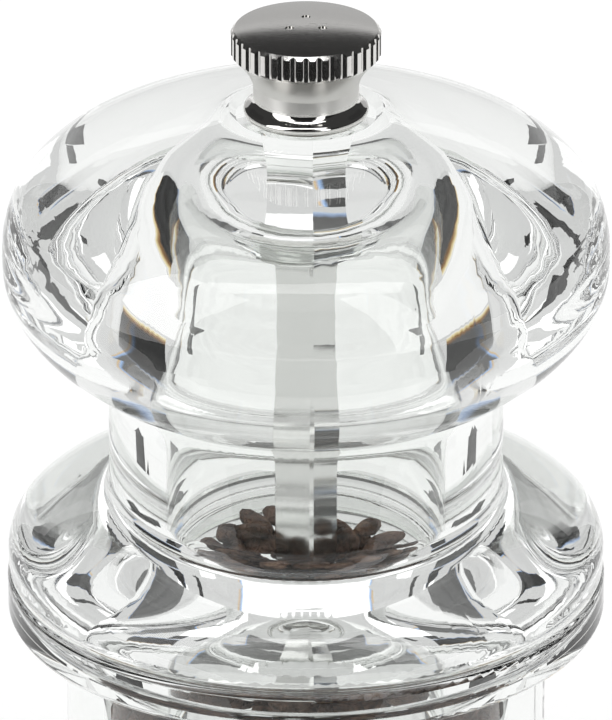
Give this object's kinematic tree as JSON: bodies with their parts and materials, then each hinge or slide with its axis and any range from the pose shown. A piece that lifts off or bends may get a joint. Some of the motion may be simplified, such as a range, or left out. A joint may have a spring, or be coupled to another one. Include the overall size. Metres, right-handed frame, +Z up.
{
  "type": "pepper mill",
  "caption": "Clear acrylic capstan pepper mill with a turning knob head, knurled grind nut, square spindle and burr mechanism.",
  "frame": {"origin": "centre of the foot, on the table", "axes": "+Z up along the spindle, from the foot to the finger nut; -Y is the side seen from the front"},
  "size_m": [0.061, 0.061, 0.1201],
  "materials": {
    "clear_head_acrylic": "polished water-clear acrylic",
    "clear_barrel_acrylic": "polished water-clear acrylic",
    "nut_chrome": "bright plated knurled steel with a satin top",
    "spindle_metal": "drawn bright bar with fine lengthwise lines",
    "burr_steel": "case-hardened dark grey steel",
    "stator_steel": "case-hardened dark grey steel",
    "pressed_steel": "stamped bright steel strip",
    "washer_steel": "stamped bright steel",
    "spring_steel": "drawn spring wire",
    "plate_steel": "brushed stainless plate",
    "screw_steel": "bright stainless screws",
    "nylon": "natural white nylon",
    "dried_pepper": "dry wrinkled black peppercorns"
  },
  "bodies": {
    "barrel": {"barrel": "clear_barrel_acrylic", "stator": "stator_steel", "bridge": "pressed_steel", "bridge_bush": "nylon", "retaining_plate": "plate_steel", "plate_screws": "screw_steel", "peppercorns": "dried_pepper"},
    "spring_seat": {"thrust_washer": "washer_steel", "spring": "spring_steel"},
    "spindle": {"spindle": "spindle_metal", "rotor": "burr_steel", "spring_cup": "pressed_steel", "rotor_washer": "washer_steel"},
    "head": {"head": "clear_head_acrylic"},
    "nut": {"finger_nut": "nut_chrome"}
  },
  "joints": [
    {"name": "grind_turn", "type": "hinge", "parent": "barrel", "child": "spring_seat", "pos_m": [0, 0, 0.03], "axis": [0, 0, 1], "continuous": true},
    {"name": "grind_adjust", "type": "slide", "parent": "spring_seat", "child": "spindle", "axis": [0, 0, 1], "range_m": [-0.00035, 0.000525], "deforming": ["spring"]},
    {"name": "head_lift", "type": "slide", "parent": "spring_seat", "child": "head", "axis": [0, 0, 1], "range_m": [0, 0.06]},
    {"name": "nut_turn", "type": "hinge", "parent": "head", "child": "nut", "pos_m": [0, 0, 0.115], "axis": [0, 0, -1], "range_deg": [-180, 270]}
  ],
  "couplings": [
    {"joint": "nut_turn", "follows": "grind_adjust", "rad_per_m": 8975.9}
  ]
}
